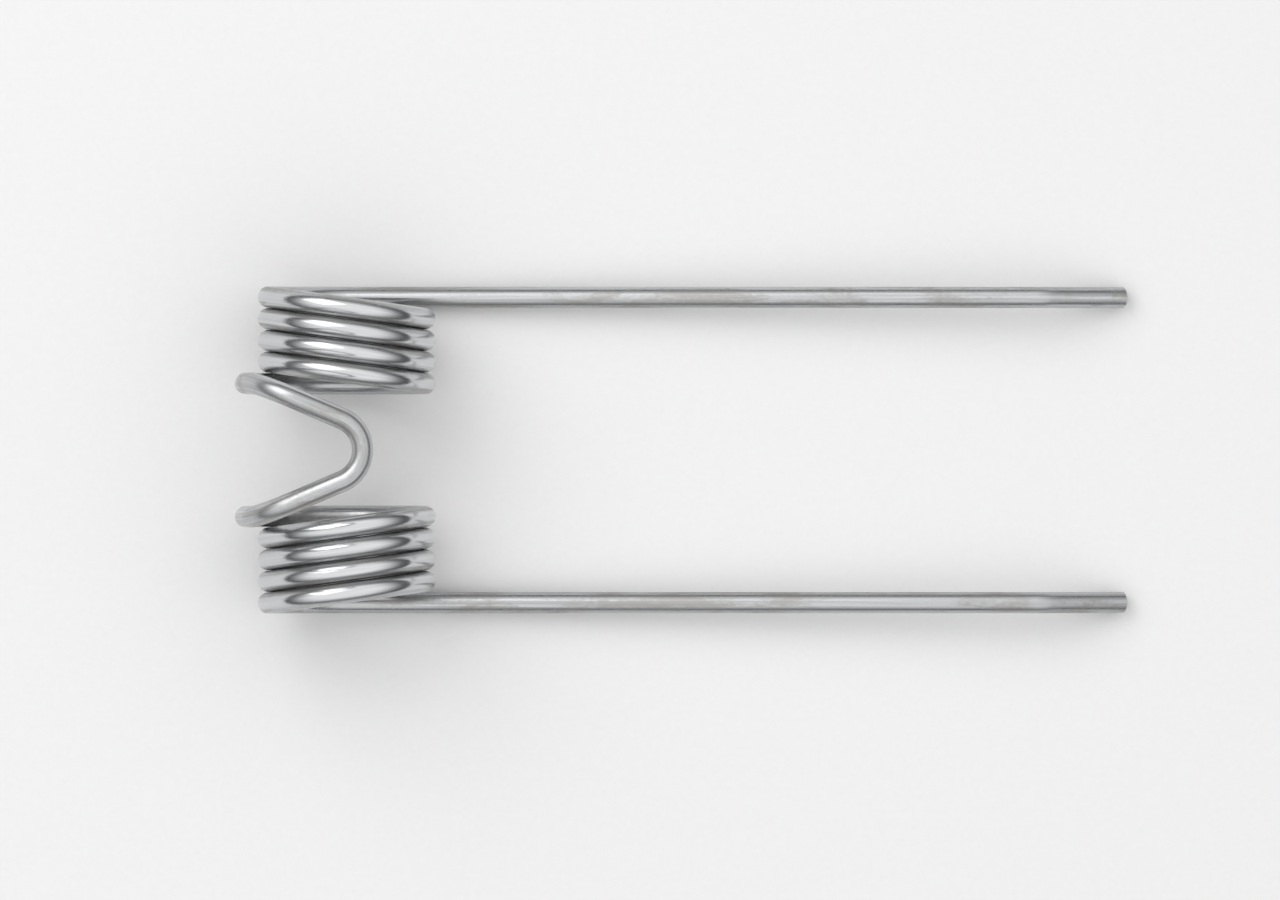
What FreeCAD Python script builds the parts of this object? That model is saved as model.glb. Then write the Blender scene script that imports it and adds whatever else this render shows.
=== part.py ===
import FreeCAD, Part
import math
import os

import Sketcher

# Double pick-up tine of a baler: one length of round spring wire, symmetric about its middle.
# From the bolt loop in the middle, each half runs back to a shoulder bend, down a rear arm, round
# the close-wound turns of a torsion coil and out along a straight leg, whose tip is bent down and
# cut off square. The halves mirror each other, so the two coils are wound opposite ways.
#
# Frame: +X along the legs to the tips, Y along the coil axis, +Z up. The origin is the seat of the
# fixing bolt: the centre of the loop's bend, on the mid-plane and in the plane of the loop.

Vector = FreeCAD.Vector

# Millimetres and degrees. The radii of bends are those of the wire's centreline.
SIZES = {
    "wire_diameter": 5.0,
    "overall_length": 205.0,  # back of the coils to the tips
    "overall_width": 77.0,  # over the outer sides of the legs
    "overall_height": 75.0,  # underside of the legs to the top of the loop
    "coil_height": 42.0,  # over the turns, outside
    "turns": 4,  # in each coil
    "turn_gap": 0.05,  # between neighbouring turns, square to the wire
    "arm_leave_angle": 68.0,  # round from the bottom of the coil to where the arm leaves it
    "arm_lean": 11.0,  # forwards of upright, at the top of the arm
    "shoulder_radius": 11.0,
    "loop_splay": 23.0,  # between the sides of the loop and the legs, seen from above
    "loop_radius": 8.0,
    "tip_length": 20.0,  # corner of the tip bend to the end, along the leg
    "tip_drop": 23.0,  # downwards from the leg
    "tip_bend_radius": 7.5,
    "end_chamfer": 0.3,
}


def make_sheet(doc):
    """The driving sizes, one named cell each."""
    sheet = doc.addObject("Spreadsheet::Sheet", "sizes")
    for row, (name, value) in enumerate(SIZES.items(), start=1):
        sheet.set(f"A{row}", name)
        sheet.set(f"B{row}", str(value))
        sheet.setAlias(f"B{row}", name)
    doc.recompute()
    return sheet


def bend(start, along, onto, radius):
    """An arc that leaves start in the direction along and turns onto another, and its far end."""
    angle = along.getAngle(onto)
    inwards = (onto - along * math.cos(angle)).normalize()

    def after(turn):
        return start + along * (radius * math.sin(turn)) + inwards * (radius * (1 - math.cos(turn)))

    return Part.Arc(start, after(angle / 2), after(angle)).toShape(), after(angle)


class Coil:
    """One coil, around an axis along Y. An angle on it is 0 at the bottom and grows backwards and
    up, so the leg leaves at 0 and the back is at 90.

    The lower half of every turn lies square to the axis, in line with the leg. The upper half
    leans across to the next turn, and is a little taller, being a circle seen at a slant."""

    def __init__(self, sizes):
        across = sizes.coil_height - sizes.wire_diameter
        spacing = sizes.wire_diameter + sizes.turn_gap
        self.pitch = spacing / math.cos(math.asin(spacing / across))
        self.lower_radius = (across**2 - self.pitch**2 / 4) / (2 * across)
        self.upper_radius = across - self.lower_radius
        self.turns = int(sizes.turns)
        self.leg_y = (sizes.overall_width - sizes.wire_diameter) / 2
        self.arm_y = self.leg_y - self.turns * self.pitch

    def lower(self, angle, y):
        """A point of a lower half turn, from the coil's axis."""
        angle = math.radians(angle)
        return Vector(-math.sin(angle), 0, -math.cos(angle)) * self.lower_radius + Vector(0, y, 0)

    def upper(self, angle, y):
        """A point of the upper half turn that starts from the back at y."""
        angle = math.radians(angle)
        crossed = (1 - math.sin(angle)) / 2
        return Vector(
            -self.lower_radius * math.sin(angle),
            y - self.pitch * crossed,
            -self.upper_radius * math.cos(angle),
        )

    def edges(self, leave_angle):
        """Arcs from the leg to the arm, in order."""
        arcs = []
        start = 0
        for turn in range(self.turns):
            y = self.leg_y - turn * self.pitch
            middle = (start + 90) / 2
            arcs.append(Part.Arc(self.lower(start, y), self.lower(middle, y), self.lower(90, y)))
            arcs.append(Part.Arc(self.upper(90, y), self.upper(180, y), self.upper(270, y)))
            start = -90
        middle = (start + leave_angle) / 2
        ends = self.lower(start, self.arm_y), self.lower(leave_angle, self.arm_y)
        arcs.append(Part.Arc(ends[0], self.lower(middle, self.arm_y), ends[1]))
        return [arc.toShape() for arc in arcs]


def centreline(sizes):
    """Edges of the wire's centreline on the +Y side, from the tip to the middle of the loop."""
    wire_radius = sizes.wire_diameter / 2
    leg_z = sizes.wire_diameter - sizes.overall_height
    coil = Coil(sizes)
    axis = Vector(0, 0, leg_z + coil.lower_radius)

    # The arm bends steadily from its lean where it leaves the coil to its lean at the top.
    foot_lean = math.radians(90 - sizes.arm_leave_angle)
    top_lean = math.radians(sizes.arm_lean)
    splay = math.radians(sizes.loop_splay)
    rising = Vector(-math.sin(foot_lean), 0, math.cos(foot_lean))
    leaning = Vector(math.sin(top_lean), 0, math.cos(top_lean))
    inwards = Vector(math.cos(splay), -math.sin(splay), 0)
    foot = axis + coil.lower(sizes.arm_leave_angle, coil.arm_y)
    shoulder_reach = sizes.shoulder_radius * math.tan(leaning.getAngle(inwards) / 2)
    arm_height = -foot.z - shoulder_reach * leaning.z
    arm_radius = arm_height / (math.sin(foot_lean) + math.sin(top_lean))
    arm, arm_top = bend(foot, rising, leaning, arm_radius)
    shoulder, side_start = bend(arm_top, leaning, inwards, sizes.shoulder_radius)

    # The sides of the loop run on to its bend, which ends on the mid-plane.
    side_end_y = sizes.loop_radius * math.cos(splay)
    side_length = (side_start.y - side_end_y) / math.sin(splay)
    if side_length <= 0:
        raise ValueError("the coils leave no room between them for the sides of the loop")
    side = inwards * side_length
    loop, loop_middle = bend(side_start + side, inwards, Vector(0, -1, 0), sizes.loop_radius)

    # The leg, and the tip, whose end has its upper corner foremost.
    drop = math.radians(sizes.tip_drop)
    ahead = Vector(1, 0, 0)
    downwards = Vector(math.cos(drop), 0, -math.sin(drop))
    end_x = sizes.overall_length - coil.lower_radius - wire_radius
    corner = axis + coil.lower(0, coil.leg_y)
    leg_start = Vector(corner)
    corner.x = end_x - sizes.tip_length
    bend_reach = sizes.tip_bend_radius * math.tan(drop / 2)
    tip_bend, tip_start = bend(corner - ahead * bend_reach, ahead, downwards, sizes.tip_bend_radius)
    corner_to_end = (sizes.tip_length - (wire_radius - sizes.end_chamfer) * math.sin(drop)) / math.cos(drop)
    tip_end = corner + downwards * corner_to_end

    edges = [
        Part.makeLine(tip_end, tip_start),
        tip_bend,
        Part.makeLine(corner - ahead * bend_reach, leg_start),
        *[edge.translated(axis) for edge in coil.edges(sizes.arm_leave_angle)],
        arm,
        shoulder,
        Part.makeLine(side_start, side_start + side),
        loop,
    ]
    seat = loop_middle - ahead * sizes.loop_radius
    return [edge.translated(-seat) for edge in edges]


def middle_plane(body):
    """The body's own plane through X and Z, about which the tine is symmetric."""
    return next(item for item in body.Origin.OriginFeatures if item.Role == "XZ_Plane")


def make_wire_section(body):
    """The round section of the wire, where the bend of the loop crosses the middle plane."""
    sketch = body.newObject("Sketcher::SketchObject", "wire_section")
    sketch.AttachmentSupport = (middle_plane(body), [""])
    sketch.MapMode = "FlatFace"
    ahead = SIZES["loop_radius"]
    across = SIZES["wire_diameter"]
    circle = sketch.addGeometry(Part.Circle(Vector(ahead, 0, 0), Vector(0, 0, 1), across / 2), False)
    origin, horizontal = -1, -1
    first, centre = 1, 3
    sketch.addConstraint(Sketcher.Constraint("PointOnObject", circle, centre, horizontal))
    ahead = sketch.addConstraint(Sketcher.Constraint("DistanceX", origin, first, circle, centre, ahead))
    across = sketch.addConstraint(Sketcher.Constraint("Diameter", circle, across))
    sketch.setExpression(f"Constraints[{ahead}]", "sizes.loop_radius")
    sketch.setExpression(f"Constraints[{across}]", "sizes.wire_diameter")
    return sketch


def make_tine(doc, sheet):
    """The whole wire: one half swept along its centreline, its cut end chamfered, then mirrored."""
    edges = centreline(sheet)
    path = doc.addObject("Part::Feature", "centreline")
    path.Shape = Part.Wire(edges)

    body = doc.addObject("PartDesign::Body", "pickup_tine")
    half = body.newObject("PartDesign::AdditivePipe", "half_wire")
    half.Profile = make_wire_section(body)
    half.Spine = (path, [f"Edge{number}" for number in range(1, len(edges) + 1)])
    doc.recompute()

    tip_end = edges[0].Vertexes[0].Point
    rim = next(
        number
        for number, edge in enumerate(half.Shape.Edges, start=1)
        if edge.isClosed() and edge.CenterOfMass.distanceToPoint(tip_end) < 0.01
    )
    chamfer = body.newObject("PartDesign::Chamfer", "cut_end")
    chamfer.Base = (half, [f"Edge{rim}"])
    chamfer.setExpression("Size", "sizes.end_chamfer")

    both = body.newObject("PartDesign::Mirrored", "both_halves")
    both.Originals = [half, chamfer]
    both.MirrorPlane = (middle_plane(body), [""])
    body.Tip = both
    doc.recompute()
    return body


def check(doc, body):
    """Stops the build if a feature failed or the wire isn't one sound solid of the right volume."""
    for item in doc.Objects:
        if "Invalid" in item.State or "Error" in item.State:
            raise RuntimeError(f"{item.Label} wasn't built")
    shape = body.Shape
    if shape.isNull() or not shape.isValid() or len(shape.Solids) != 1:
        raise RuntimeError("the tine isn't one valid solid")
    section = math.pi * doc.sizes.wire_diameter**2 / 4
    wire_volume = section * 2 * doc.centreline.Shape.Length
    if abs(shape.Volume / wire_volume - 1) > 0.001:
        raise RuntimeError("the swept wire has lost or gained volume")


def main():
    doc = FreeCAD.newDocument("tine")
    sheet = make_sheet(doc)
    body = make_tine(doc, sheet)
    check(doc, body)
    os.makedirs("parts", exist_ok=True)
    body.Shape.exportStep("parts/pickup_tine.step")


main()
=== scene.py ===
import math

import bpy
from mathutils import Matrix, Vector


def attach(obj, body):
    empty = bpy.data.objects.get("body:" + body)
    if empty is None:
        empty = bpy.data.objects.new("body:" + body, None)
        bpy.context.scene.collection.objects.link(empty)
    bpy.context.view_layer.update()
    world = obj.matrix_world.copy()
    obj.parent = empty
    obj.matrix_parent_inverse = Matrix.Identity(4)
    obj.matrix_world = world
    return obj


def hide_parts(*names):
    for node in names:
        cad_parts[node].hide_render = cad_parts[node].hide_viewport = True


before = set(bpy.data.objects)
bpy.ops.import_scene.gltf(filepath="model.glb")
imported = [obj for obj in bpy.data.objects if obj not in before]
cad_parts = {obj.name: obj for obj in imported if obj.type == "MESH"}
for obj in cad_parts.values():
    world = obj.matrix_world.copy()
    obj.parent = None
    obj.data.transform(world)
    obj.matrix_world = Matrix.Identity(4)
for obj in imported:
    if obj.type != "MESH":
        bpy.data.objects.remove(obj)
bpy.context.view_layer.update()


# The tine is one length of 5 mm spring steel wire, cropped at both ends and bent cold by machine. A
# bolt through the loop in its middle holds it to the bar of the pick-up. Its centreline is walked a
# run or a bend at a time, from the tip on the +Y side: leg, coil, arm, side of the loop, bolt.

mm = 0.001
wire_diameter = 5.0 * mm
wire_radius = wire_diameter / 2
end_chamfer = 0.3 * mm

overall_length = 205.0 * mm  # back of the coils to the tips
overall_width = 77.0 * mm  # over the outer sides of the legs
overall_height = 75.0 * mm  # underside of the legs to the top of the loop
coil_height = 42.0 * mm
turns = 4
turn_gap = 0.05 * mm
arm_leave_angle = math.radians(68)  # round from the bottom of the coil
arm_lean = math.radians(11)  # forwards of upright, at the top
shoulder_radius = 11.0 * mm
loop_splay = math.radians(23)
loop_radius = 8.0 * mm
tip_length = 20.0 * mm
tip_drop = math.radians(23)
tip_bend_radius = 7.5 * mm
bend_fades_over = 6.0 * mm  # how far beside a bend its marks still show
bend_step = math.radians(3)  # from one section of a bend to the next
quarter_turn, half_turn = math.radians(90), math.radians(180)

turn_spacing = wire_diameter + turn_gap
turn_height = coil_height - wire_diameter
coil_pitch = turn_spacing / math.cos(math.asin(turn_spacing / turn_height))
lower_radius = (turn_height**2 - coil_pitch**2 / 4) / (2 * turn_height)
upper_radius = turn_height - lower_radius
turn_slant = math.atan(coil_pitch / 2 / lower_radius)

forwards = Vector((1, 0, 0))
sideways = Vector((0, 1, 0))
upwards = Vector((0, 0, 1))


class Wire:
    """A wire being bent: the points of its centreline so far, and where its end is heading. Each
    point has a curl, a vector towards the middle of the bend there, as long as 1 over its radius,
    and says whether rollers wound it, 1, or not, 0."""

    def __init__(self, start, heading):
        self.points = [start]
        self.curls = [Vector()]
        self.wound = [0.0]
        self.heading = heading.normalized()

    def run(self, length):
        start = self.points[-1]
        fading = min(bend_fades_over, length / 3)
        for reached in (fading, length - fading, length):
            self.points.append(start + self.heading * reached)
            self.curls.append(Vector())
            self.wound.append(0.0)

    def bend(self, axis, angle, radius, wound=0.0):
        centre = self.points[-1] + axis.cross(self.heading) * radius
        spoke = self.points[-1] - centre
        steps = math.ceil(angle / bend_step)
        self.curls[-1] = -spoke / radius**2
        self.wound[-1] = max(self.wound[-1], wound)
        for number in range(1, steps + 1):
            turned = Matrix.Rotation(angle * number / steps, 3, axis) @ spoke
            self.points.append(centre + turned)
            self.curls.append(-turned / radius**2)
            self.wound.append(wound)
        self.heading = Matrix.Rotation(angle, 3, axis) @ self.heading

    def bend_onto(self, heading, radius):
        self.bend(self.heading.cross(heading).normalized(), self.heading.angle(heading), radius)


tip_heading = Vector((-math.cos(tip_drop), 0, math.sin(tip_drop)))
tip_bend_reach = tip_bend_radius * math.tan(tip_drop / 2)
tip_run = (tip_length - (wire_radius - end_chamfer) * math.sin(tip_drop)) / math.cos(tip_drop)
leg_run = overall_length - wire_radius - lower_radius - tip_length
leg_y = (overall_width - wire_diameter) / 2
tine = Wire(Vector((0, leg_y, 0)), tip_heading)
tine.run(end_chamfer)
tine.run(tip_run - end_chamfer - tip_bend_reach)
tine.bend_onto(-forwards, tip_bend_radius)
leg_height = tine.points[-1].z
tine.run(leg_run - tip_bend_reach)
coil_axis = tine.points[-1] + upwards * lower_radius

# The coil. Its lower half turns lie square to its axis, and the upper ones cross to the next turn.
slanted_axis = Vector((math.sin(turn_slant), math.cos(turn_slant), 0))
tine.bend(sideways, quarter_turn, lower_radius, wound=1.0)
for turn in range(turns):
    tine.bend(slanted_axis, half_turn, upper_radius, wound=1.0)
    lower_turn = half_turn if turn < turns - 1 else quarter_turn + arm_leave_angle
    tine.bend(sideways, lower_turn, lower_radius, wound=1.0)

# The arm, the shoulder and one half of the loop.
loop_height = leg_height + overall_height - wire_diameter
leaning = Vector((math.sin(arm_lean), 0, math.cos(arm_lean)))
inwards = Vector((math.cos(loop_splay), -math.sin(loop_splay), 0))
shoulder_rise = shoulder_radius * math.tan(leaning.angle(inwards) / 2) * leaning.z
arm_rise = loop_height - tine.points[-1].z - shoulder_rise
arm_radius = arm_rise / (math.cos(arm_leave_angle) + math.sin(arm_lean))
tine.bend_onto(leaning, arm_radius)
tine.bend_onto(inwards, shoulder_radius)
tine.run((tine.points[-1].y - loop_radius * math.cos(loop_splay)) / math.sin(loop_splay))
tine.bend_onto(-sideways, loop_radius)

# The other half is the same, mirrored. The bolt's seat, in the middle of the loop, is the origin.
seat = tine.points[-1] - forwards * loop_radius
half = [point - seat for point in tine.points]
coil_axis -= seat
other_side = Matrix.Diagonal((1, -1, 1))
centreline = half + [other_side @ point for point in reversed(half[:-1])]
curls = tine.curls + [other_side @ curl for curl in reversed(tine.curls[:-1])]
wound = tine.wound + tine.wound[-2::-1]


# The finish of the tine. It is bare spring steel, satin grey from the drawing die, whose fine marks
# run along it. A thin film from the drawing is left in patches, the coiling rollers have burnished
# the outside of the turns, and the two ends are cropped: half sheared smooth, half torn.


def place_node(tree, kind, values=None, **settings):
    """A new node, with its settings and the values of its sockets that nothing is linked to."""
    node = tree.nodes.new(kind)
    for name, setting in settings.items():
        setattr(node, name, setting)
    for socket, value in (values or {}).items():
        node.inputs[socket].default_value = value
    return node


def link(tree, *pairs):
    for output, socket in pairs:
        tree.links.new(output, socket)


def new_group(name, kind, takes, gives):
    """A node group with these sockets, its node for what it takes and the one for what it gives."""
    tree = bpy.data.node_groups.new(name, kind)
    for in_out, sockets in (("INPUT", takes), ("OUTPUT", gives)):
        for socket, socket_kind in sockets.items():
            tree.interface.new_socket(socket, in_out=in_out, socket_type=f"NodeSocket{socket_kind}")
    return tree, place_node(tree, "NodeGroupInput"), place_node(tree, "NodeGroupOutput")


def reckon(tree, operation, *terms, **settings):
    """The result of a sum on numbers and sockets."""
    node = place_node(tree, "ShaderNodeMath", operation=operation, **settings)
    for socket, term in zip(node.inputs, terms):
        if isinstance(term, bpy.types.NodeSocket):
            tree.links.new(term, socket)
        else:
            socket.default_value = term
    return node.outputs[0]


def fade(tree, value, low, high, start=0.0, end=1.0):
    """From start where value is low or less to end where it is high or more."""
    node = place_node(
        tree,
        "ShaderNodeMapRange",
        {"From Min": low, "From Max": high, "To Min": start, "To Max": end},
        interpolation_type="SMOOTHSTEP",
    )
    tree.links.new(value, node.inputs["Value"])
    return node.outputs["Result"]


def noise(tree, place, stretch, scale, detail, roughness=0.5, distortion=0.0):
    """Noise over a place that is first scaled along each of its axes."""
    stretched = place_node(tree, "ShaderNodeVectorMath", {1: stretch}, operation="MULTIPLY")
    pattern = place_node(
        tree,
        "ShaderNodeTexNoise",
        {"Scale": scale, "Detail": detail, "Roughness": roughness, "Distortion": distortion},
    )
    link(
        tree,
        (place, stretched.inputs[0]),
        (stretched.outputs["Vector"], pattern.inputs["Vector"]),
    )
    return pattern.outputs["Fac"]


def die_marks_group():
    """The fine lines that the drawing die leaves along the wire."""
    takes = {"Blank Place": "Vector"}
    tree, given, made = new_group("die_marks", "ShaderNodeTree", takes, {"Lines": "Float"})
    place = given.outputs["Blank Place"]
    fine_share, broad_share = 0.55, 0.45
    fine = noise(tree, place, stretch=(1, 1, 0.006), scale=4200, detail=4, roughness=0.65)
    broad = noise(tree, place, stretch=(1, 1, 0.003), scale=1300, detail=2)
    both = reckon(
        tree,
        "ADD",
        reckon(tree, "MULTIPLY", fine, fine_share),
        reckon(tree, "MULTIPLY", broad, broad_share),
    )
    link(tree, (fade(tree, both, low=0.34, high=0.66), made.inputs["Lines"]))
    return tree


def drawing_film_group():
    """The dull film of drawing compound, left in long patches."""
    takes = {"Blank Place": "Vector"}
    tree, given, made = new_group("drawing_film", "ShaderNodeTree", takes, {"Film": "Float"})
    place = given.outputs["Blank Place"]
    speck_share = 0.25
    patches = noise(
        tree,
        place,
        stretch=(1, 1, 0.22),
        scale=230,
        detail=5,
        roughness=0.6,
        distortion=0.5,
    )
    specks = noise(tree, place, stretch=(1, 1, 0.6), scale=1500, detail=3)
    film = reckon(tree, "ADD", patches, reckon(tree, "MULTIPLY", specks, speck_share))
    link(tree, (fade(tree, film, low=0.56, high=0.78), made.inputs["Film"]))
    return tree


def bend_marks_group():
    """Where the coiling rollers ran along the outside of the turns, and where the skin of the tight
    bends is stretched and squeezed."""
    takes = {"Bending": "Vector"}
    gives = {"Roller Track": "Float", "Stretched": "Float", "Squeezed": "Float"}
    tree, given, made = new_group("bend_marks", "ShaderNodeTree", takes, gives)
    parts = place_node(tree, "ShaderNodeSeparateXYZ")
    link(tree, (given.outputs["Bending"], parts.inputs["Vector"]))
    stretch, most_stretch, wound = (parts.outputs[axis] for axis in "XYZ")
    least_bending = 0.02  # on a straight run there is none to divide by
    towards_outside = reckon(
        tree,
        "DIVIDE",
        stretch,
        reckon(tree, "MAXIMUM", most_stretch, least_bending),
    )
    rolled = reckon(
        tree,
        "MULTIPLY",
        fade(tree, towards_outside, low=0.8, high=0.95),
        fade(tree, wound, low=0.0, high=1.0),
    )
    squeezed = fade(tree, stretch, low=-0.32, high=-0.1, start=1.0, end=0.0)
    link(
        tree,
        (rolled, made.inputs["Roller Track"]),
        (fade(tree, stretch, low=0.14, high=0.32), made.inputs["Stretched"]),
        (squeezed, made.inputs["Squeezed"]),
    )
    return tree


def cropped_end_group():
    """The cut face of an end, from a smooth sheared side to a grainy torn one. The relief is left
    out at the rim, where it would meet the chamfer."""
    takes = {"Blank Place": "Vector"}
    gives = {"Face": "Float", "Torn": "Float", "Grain": "Float", "Relief": "Float"}
    tree, given, made = new_group("cropped_end", "ShaderNodeTree", takes, gives)
    place = given.outputs["Blank Place"]
    flat = place_node(tree, "ShaderNodeVectorMath", {1: (1, 1, 0)}, operation="MULTIPLY")
    length = place_node(tree, "ShaderNodeVectorMath", operation="LENGTH")
    across = place_node(tree, "ShaderNodeSeparateXYZ")
    link(
        tree,
        (place, flat.inputs[0]),
        (flat.outputs["Vector"], length.inputs[0]),
        (place, across.inputs["Vector"]),
    )
    from_middle = length.outputs["Value"]
    face_radius = wire_radius - end_chamfer
    face = fade(
        tree,
        from_middle,
        low=face_radius * 0.998,
        high=face_radius * 1.01,
        start=1.0,
        end=0.0,
    )
    inside_rim = fade(
        tree,
        from_middle,
        low=face_radius * 0.88,
        high=face_radius * 0.99,
        start=1.0,
        end=0.0,
    )

    # The line between the two sides is ragged. The blade has smeared one, and the other is grainy.
    most_ragged = 1.6 * mm
    ragged = noise(tree, place, stretch=(1, 1, 0), scale=900, detail=3)
    line = reckon(tree, "ADD", across.outputs["Y"], reckon(tree, "MULTIPLY", ragged, most_ragged))
    torn = fade(tree, line, low=0.5 * mm, high=1.0 * mm)
    crystals = noise(tree, place, stretch=(1, 1, 0), scale=5000, detail=4, roughness=0.7)
    smears = noise(tree, place, stretch=(1, 0.05, 0), scale=5000, detail=4)
    grain = place_node(tree, "ShaderNodeMix", data_type="FLOAT")
    link(
        tree,
        (torn, grain.inputs["Factor"]),
        (fade(tree, smears, low=0.36, high=0.64), grain.inputs["A"]),
        (fade(tree, crystals, low=0.34, high=0.66), grain.inputs["B"]),
        (face, made.inputs["Face"]),
        (torn, made.inputs["Torn"]),
        (grain.outputs["Result"], made.inputs["Grain"]),
        (reckon(tree, "MULTIPLY", grain.outputs["Result"], inside_rim), made.inputs["Relief"]),
    )
    return tree


def tint(tree, base, colour, amount):
    """A colour laid over another, as far as the amount says."""
    mixed = place_node(tree, "ShaderNodeMix", data_type="RGBA")
    for socket, term in (("A", base), ("B", colour)):
        target = next(item for item in mixed.inputs if item.name == socket and item.type == "RGBA")
        if isinstance(term, bpy.types.NodeSocket):
            tree.links.new(term, target)
        else:
            target.default_value = (*term, 1)
    link(tree, (amount, mixed.inputs["Factor"]))
    return next(item for item in mixed.outputs if item.type == "RGBA")


# line_shadow is painted shade in the grooves of the die lines; bright_steel is the raised skin
# between them.
bright_steel = (0.60, 0.61, 0.62)
line_shadow = (0.38, 0.385, 0.39)
film_grey = (0.34, 0.33, 0.315)
burnished = (0.68, 0.69, 0.70)
torn_steel = (0.30, 0.30, 0.31)

steel = bpy.data.materials.new("drawn_spring_steel")
steel.use_nodes = True
nodes = steel.node_tree
shader = nodes.nodes["Principled BSDF"]
shader.inputs["Metallic"].default_value = 1

blank_mark = place_node(nodes, "ShaderNodeAttribute", attribute_name="blank_place")
bending_mark = place_node(nodes, "ShaderNodeAttribute", attribute_name="bending")
die_marks = place_node(nodes, "ShaderNodeGroup", node_tree=die_marks_group())
film = place_node(nodes, "ShaderNodeGroup", node_tree=drawing_film_group())
bend_marks = place_node(nodes, "ShaderNodeGroup", node_tree=bend_marks_group())
cropped_end = place_node(nodes, "ShaderNodeGroup", node_tree=cropped_end_group())
link(
    nodes,
    (blank_mark.outputs["Vector"], die_marks.inputs["Blank Place"]),
    (blank_mark.outputs["Vector"], film.inputs["Blank Place"]),
    (bending_mark.outputs["Vector"], bend_marks.inputs["Bending"]),
    (blank_mark.outputs["Vector"], cropped_end.inputs["Blank Place"]),
)
lines = die_marks.outputs["Lines"]
track, stretched, squeezed = bend_marks.outputs
cut_face, torn, grain, cut_relief = cropped_end.outputs

# The film is gone where the rollers ran and where the skin is stretched.
film_gone = reckon(nodes, "MAXIMUM", track, stretched)
film_kept = reckon(nodes, "SUBTRACT", 1.0, film_gone)
film_left = reckon(nodes, "MULTIPLY", film.outputs["Film"], film_kept)

# The colour: where each thing lies over the lines, its own colour, and how much it covers there.
# Painted shade: the grooves of the die lines, low in the bump below, are coloured darker than the
# raised lines between them.
colour = tint(nodes, line_shadow, bright_steel, lines)
for where, laid_over, cover in (
    (film_left, film_grey, 0.7),
    (track, burnished, 0.6),
    (squeezed, film_grey, 0.45),
):
    colour = tint(nodes, colour, laid_over, reckon(nodes, "MULTIPLY", where, cover))

# On the cut face the grain shows most where it is sheared, and the torn side is darker all over.
sheared_grain_cover, torn_grain_cover, torn_cover = 0.7, 0.4, 0.6
grain_cover = reckon(
    nodes,
    "MULTIPLY_ADD",
    torn,
    torn_grain_cover - sheared_grain_cover,
    sheared_grain_cover,
)
cut_cover = reckon(
    nodes,
    "MULTIPLY_ADD",
    grain,
    grain_cover,
    reckon(nodes, "MULTIPLY", torn, torn_cover),
)
colour = tint(nodes, colour, torn_steel, reckon(nodes, "MULTIPLY", cut_face, cut_cover))

# The roughness: that of the bare skin, and what each thing adds to it.
rough = 0.32
for where, change in (
    (lines, -0.10),
    (film_left, 0.14),
    (track, -0.10),
    (stretched, 0.08),
    (squeezed, 0.10),
    (reckon(nodes, "MULTIPLY", cut_face, torn), 0.25),
):
    rough = reckon(nodes, "MULTIPLY_ADD", where, change, rough)

line_depth = 0.008 * mm
cut_depth = 4.0  # in line depths
on_skin = reckon(nodes, "SUBTRACT", 1.0, cut_face)
line_relief = reckon(nodes, "MULTIPLY", lines, on_skin)
relief = reckon(nodes, "MULTIPLY_ADD", cut_relief, cut_depth, line_relief)
bump = place_node(nodes, "ShaderNodeBump", {"Strength": 1.0, "Distance": line_depth})
link(
    nodes,
    (colour, shader.inputs["Base Color"]),
    (rough, shader.inputs["Roughness"]),
    (relief, bump.inputs["Height"]),
    (bump.outputs["Normal"], shader.inputs["Normal"]),
)


# The skin of the tine: a round section along the whole centreline, both ends lightly chamfered.
# Each point keeps its place on the straight blank before bending, across and along, and how much
# the bend has stretched it there. The finish above follows those two.


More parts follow.
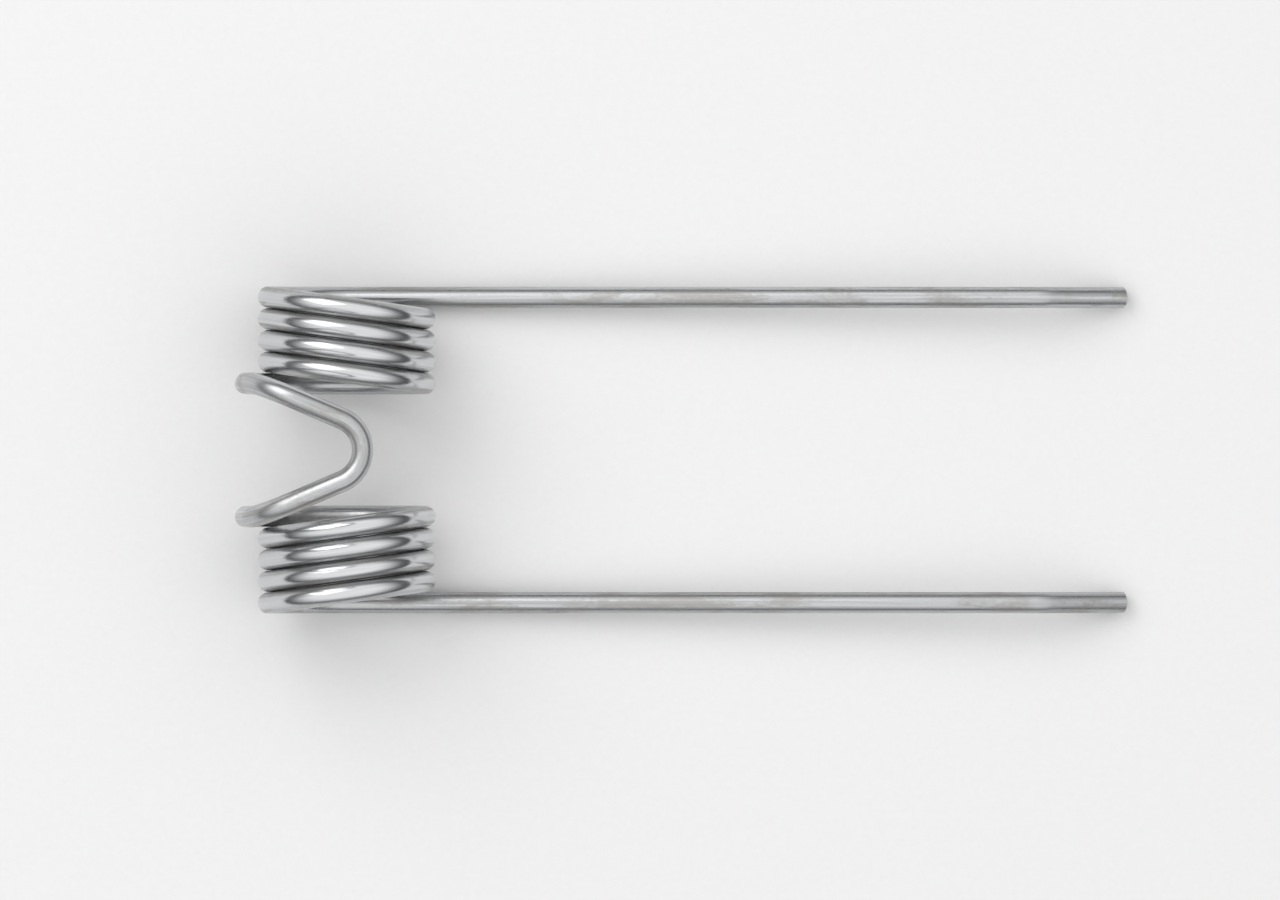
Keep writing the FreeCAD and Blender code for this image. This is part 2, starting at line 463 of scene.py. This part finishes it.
def drawn_wire_tree():
    """Sweeps a round section along a path, chamfers and closes its ends, and marks its points."""
    takes = {
        "Path": "Geometry",
        "Wire Radius": "Float",
        "End Chamfer": "Float",
        "Sides": "Int",
        "Finish": "Material",
    }
    tree, given, made = new_group("drawn_wire", "GeometryNodeTree", takes, {"Wire": "Geometry"})
    radius = given.outputs["Wire Radius"]

    # How much of the full radius the wire has: less at a chamfered end.
    path = place_node(tree, "GeometryNodeMeshToCurve")
    along = place_node(tree, "GeometryNodeSplineParameter").outputs["Length"]
    whole = place_node(tree, "GeometryNodeSplineLength").outputs["Length"]
    to_end = reckon(tree, "MINIMUM", along, reckon(tree, "SUBTRACT", whole, along))
    missing = reckon(tree, "SUBTRACT", given.outputs["End Chamfer"], to_end, use_clamp=True)
    taper = reckon(tree, "SUBTRACT", 1.0, reckon(tree, "DIVIDE", missing, radius))

    # The path and the section each remember their own part of what the points are marked with.
    here = place_node(tree, "GeometryNodeInputPosition").outputs["Position"]
    curl, wound = (
        place_node(tree, "GeometryNodeInputNamedAttribute", {"Name": name}, data_type=kind)
        for name, kind in (("curl", "FLOAT_VECTOR"), ("wound", "FLOAT"))
    )
    on_path = place_node(tree, "GeometryNodeCaptureAttribute", domain="POINT")
    for name in ("Along", "Taper", "Wound"):
        on_path.capture_items.new("FLOAT", name)
    for name in ("Middle", "Curl"):
        on_path.capture_items.new("VECTOR", name)
    section = place_node(tree, "GeometryNodeCurvePrimitiveCircle", mode="RADIUS")
    on_section = place_node(tree, "GeometryNodeCaptureAttribute", domain="POINT")
    on_section.capture_items.new("VECTOR", "Across")
    sweep = place_node(tree, "GeometryNodeCurveToMesh", {"Fill Caps": True})
    link(
        tree,
        (given.outputs["Path"], path.inputs["Mesh"]),
        (path.outputs["Curve"], on_path.inputs["Geometry"]),
        (along, on_path.inputs["Along"]),
        (taper, on_path.inputs["Taper"]),
        (here, on_path.inputs["Middle"]),
        (curl.outputs["Attribute"], on_path.inputs["Curl"]),
        (wound.outputs["Attribute"], on_path.inputs["Wound"]),
        (radius, section.inputs["Radius"]),
        (given.outputs["Sides"], section.inputs["Resolution"]),
        (section.outputs["Curve"], on_section.inputs["Geometry"]),
        (here, on_section.inputs["Across"]),
        (on_path.outputs["Geometry"], sweep.inputs["Curve"]),
        (on_section.outputs["Geometry"], sweep.inputs["Profile Curve"]),
        (on_path.outputs["Taper"], sweep.inputs["Scale"]),
    )

    # The place on the blank: across the section twice, and along.
    across = place_node(tree, "ShaderNodeVectorMath", operation="SCALE")
    across_parts = place_node(tree, "ShaderNodeSeparateXYZ")
    blank_place = place_node(tree, "ShaderNodeCombineXYZ")
    link(
        tree,
        (on_section.outputs["Across"], across.inputs["Vector"]),
        (on_path.outputs["Taper"], across.inputs["Scale"]),
        (across.outputs["Vector"], across_parts.inputs["Vector"]),
        (across_parts.outputs["X"], blank_place.inputs["X"]),
        (across_parts.outputs["Y"], blank_place.inputs["Y"]),
        (on_path.outputs["Along"], blank_place.inputs["Z"]),
    )

    # The bending: how much the point is stretched, how much the most stretched one beside it is,
    # and whether it was wound.
    outwards = place_node(tree, "ShaderNodeVectorMath", operation="SUBTRACT")
    squeeze = place_node(tree, "ShaderNodeVectorMath", operation="DOT_PRODUCT")
    tightness = place_node(tree, "ShaderNodeVectorMath", operation="LENGTH")
    bending = place_node(tree, "ShaderNodeCombineXYZ")
    link(
        tree,
        (here, outwards.inputs[0]),
        (on_path.outputs["Middle"], outwards.inputs[1]),
        (outwards.outputs["Vector"], squeeze.inputs[0]),
        (on_path.outputs["Curl"], squeeze.inputs[1]),
        (on_path.outputs["Curl"], tightness.inputs[0]),
        (reckon(tree, "MULTIPLY", squeeze.outputs["Value"], -1.0), bending.inputs["X"]),
        (reckon(tree, "MULTIPLY", tightness.outputs["Value"], radius), bending.inputs["Y"]),
        (on_path.outputs["Wound"], bending.inputs["Z"]),
    )

    marked = sweep.outputs["Mesh"]
    for name, value in (("blank_place", blank_place), ("bending", bending)):
        stored = place_node(
            tree,
            "GeometryNodeStoreNamedAttribute",
            {"Name": name},
            data_type="FLOAT_VECTOR",
            domain="POINT",
        )
        link(
            tree,
            (marked, stored.inputs["Geometry"]),
            (value.outputs["Vector"], stored.inputs["Value"]),
        )
        marked = stored.outputs["Geometry"]
    realized = place_node(tree, "GeometryNodeRealizeInstances")
    finished = place_node(tree, "GeometryNodeSetMaterial")
    link(
        tree,
        (marked, realized.inputs["Geometry"]),
        (realized.outputs["Geometry"], finished.inputs["Geometry"]),
        (given.outputs["Finish"], finished.inputs["Material"]),
        (finished.outputs["Geometry"], made.inputs["Wire"]),
    )
    return tree


path_mesh = bpy.data.meshes.new("tine_path")
path_edges = [(start, start + 1) for start in range(len(centreline) - 1)]
path_mesh.from_pydata(centreline, path_edges, [])
path_curl = path_mesh.attributes.new("curl", "FLOAT_VECTOR", "POINT")
path_curl.data.foreach_set("vector", [part for curl in curls for part in curl])
path_wound = path_mesh.attributes.new("wound", "FLOAT", "POINT")
path_wound.data.foreach_set("value", wound)
path_object = bpy.data.objects.new("tine_path", path_mesh)
bpy.context.collection.objects.link(path_object)

wire_sides = 48
wire_inputs = {
    "Wire Radius": wire_radius,
    "End Chamfer": end_chamfer,
    "Sides": wire_sides,
    "Finish": steel,
}
drawing = path_object.modifiers.new("drawn_wire", "NODES")
drawing.node_group = drawn_wire_tree()
for item in drawing.node_group.interface.items_tree:
    if item.in_out == "INPUT" and item.name in wire_inputs:
        drawing[item.identifier] = wire_inputs[item.name]

sharp_edge = math.radians(30)  # only the chamfer's edges are sharper
evaluated = path_object.evaluated_get(bpy.context.evaluated_depsgraph_get())
tine_mesh = bpy.data.meshes.new_from_object(evaluated)
bpy.data.objects.remove(path_object)
tine_mesh.name = "spring_wire"
tine_mesh.shade_smooth()
tine_mesh.set_sharp_from_angle(angle=sharp_edge)

# The skin is also unrolled onto a flat map, for the finish to be baked onto: four lengths of the
# straight blank stand side by side, and the two cut ends lie above them.
strips = 4
strip_foot, strip_height = 0.01, 0.91
strip_middle, strip_half_width = 0.5, 0.48  # in widths of a strip
cut_end_height, cut_end_half_width = 0.963, 0.03
blank_places = [mark.vector.copy() for mark in tine_mesh.attributes["blank_place"].data]
strip_length = max(place.z for place in blank_places) / strips
skin_map = tine_mesh.uv_layers.new(name="OFBake")
for facet in tine_mesh.polygons:
    corners = [blank_places[number] for number in facet.vertices]
    middle = sum(corners, Vector()) / len(corners)
    strip = min(int(middle.z / strip_length), strips - 1)
    middle_turn = math.atan2(middle.y, middle.x) / math.tau % 1
    for loop, corner in zip(facet.loop_indices, corners):
        if len(corners) == wire_sides:
            across = corner.xy / (wire_radius - end_chamfer) * cut_end_half_width
            flat_place = ((strip + strip_middle) / strips + across.x, cut_end_height + across.y)
        else:
            corner_turn = math.atan2(corner.y, corner.x) / math.tau
            from_middle = (corner_turn - middle_turn + 0.5) % 1 - 0.5
            from_strip_middle = 2 * (middle_turn + from_middle) - 1
            along = corner.z / strip_length - strip
            flat_place = (
                (strip + strip_middle + strip_half_width * from_strip_middle) / strips,
                strip_foot + strip_height * along,
            )
        skin_map.uv[loop].vector = flat_place

tine_piece = bpy.data.objects.new("spring_wire", tine_mesh)
bpy.context.collection.objects.link(tine_piece)
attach(tine_piece, "root")
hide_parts("pickup_tine")


# The floor that the tine rests on, with its coils and its tips. The tine keeps the frame's own
# level legs, so the floor leans with it instead: it just touches both coils and both tips.

lowest = min((vertex.co for vertex in tine_mesh.vertices), key=lambda place: place.z)
to_tip = lowest - coil_axis
tip_distance = math.hypot(to_tip.x, to_tip.z)
coil_outside = lower_radius + wire_radius
floor_tilt = math.atan2(-to_tip.z, to_tip.x) - math.asin(coil_outside / tip_distance)
floor_reach = 7.0  # each way

tilted = Matrix.Rotation(floor_tilt, 3, sideways)
floor_corners = [
    lowest + tilted @ (Vector((x, y, 0)) * floor_reach)
    for x, y in ((-1, -1), (1, -1), (1, 1), (-1, 1))
]
floor_mesh = bpy.data.meshes.new("floor")
floor_mesh.from_pydata(floor_corners, [], [(0, 1, 2, 3)])
floor = bpy.data.objects.new("floor", floor_mesh)
bpy.context.collection.objects.link(floor)

floor_tones = (0.80, 0.80, 0.80), (0.84, 0.84, 0.84)
floor_roughness = 0.85
paper = bpy.data.materials.new("pale_floor")
paper.use_nodes = True
floor_nodes = paper.node_tree
floor_shader = floor_nodes.nodes["Principled BSDF"]
floor_shader.inputs["Roughness"].default_value = floor_roughness
floor_place = place_node(floor_nodes, "ShaderNodeTexCoord").outputs["Object"]
fibres = noise(floor_nodes, floor_place, stretch=(1, 1, 1), scale=700, detail=4)
link(floor_nodes, (tint(floor_nodes, *floor_tones, fibres), floor_shader.inputs["Base Color"]))
floor_mesh.materials.append(paper)


# Soft studio light: a sky that is bright overhead and darker towards the horizon, which gives the
# round wire dark edges, and one large soft box to the left. What shows behind is plain and pale.

horizon_glow = (0.12, 0.123, 0.127)
overhead_glow = (1.15, 1.15, 1.15)
backdrop = (0.737, 0.738, 0.737)  # as the far floor looks, so that no edge shows

world = bpy.data.worlds.new("studio")
bpy.context.scene.world = world
world.use_nodes = True
sky = world.node_tree
direction = place_node(sky, "ShaderNodeTexCoord")
direction_parts = place_node(sky, "ShaderNodeSeparateXYZ")
link(sky, (direction.outputs["Generated"], direction_parts.inputs["Vector"]))
overhead = fade(sky, direction_parts.outputs["Z"], low=0.1, high=0.8)
glow = tint(sky, horizon_glow, overhead_glow, overhead)
seen = place_node(sky, "ShaderNodeLightPath").outputs["Is Camera Ray"]
link(sky, (tint(sky, glow, backdrop, seen), sky.nodes["Background"].inputs["Color"]))

soft_box_size = 1.2
soft_box_radiance = 1.8
soft_box_place = Vector((-0.7, 0.9, 1.2))
soft_box_aim = Vector((0.08, 0, -0.05))
light = bpy.data.lights.new("key_light", "AREA")
light.shape = "SQUARE"
light.size = soft_box_size
light.energy = soft_box_radiance * math.pi * soft_box_size**2
soft_box = bpy.data.objects.new("key_light", light)
soft_box.location = soft_box_place
soft_box.rotation_euler = (soft_box_aim - soft_box_place).to_track_quat("-Z", "Y").to_euler()
soft_box.visible_camera = False
bpy.context.collection.objects.link(soft_box)


# The camera looks straight down, as the view from above does. Its lens is long, and it stands far
# off, so that the view is almost free of perspective.

photo_width = 1280
photo_scale = 4.26 / mm  # pixels to a metre
coil_back_pixel = 257
camera_lens = 800
sensor_width = 36
farthest_seen = 20
view_width = photo_width / photo_scale
coil_back = coil_axis.x - coil_outside
view_middle = coil_back + (photo_width / 2 - coil_back_pixel) / photo_scale
middle_height = -overall_height / 2
camera_height = middle_height + view_width * camera_lens / sensor_width

camera_data = bpy.data.cameras.new("camera")
camera_data.lens = camera_lens
camera_data.sensor_width = sensor_width
camera_data.clip_end = farthest_seen
camera = bpy.data.objects.new("camera", camera_data)
camera.location = (view_middle, 0, camera_height)
bpy.context.collection.objects.link(camera)
bpy.context.scene.camera = camera
bpy.context.scene.view_settings.view_transform = "Standard"
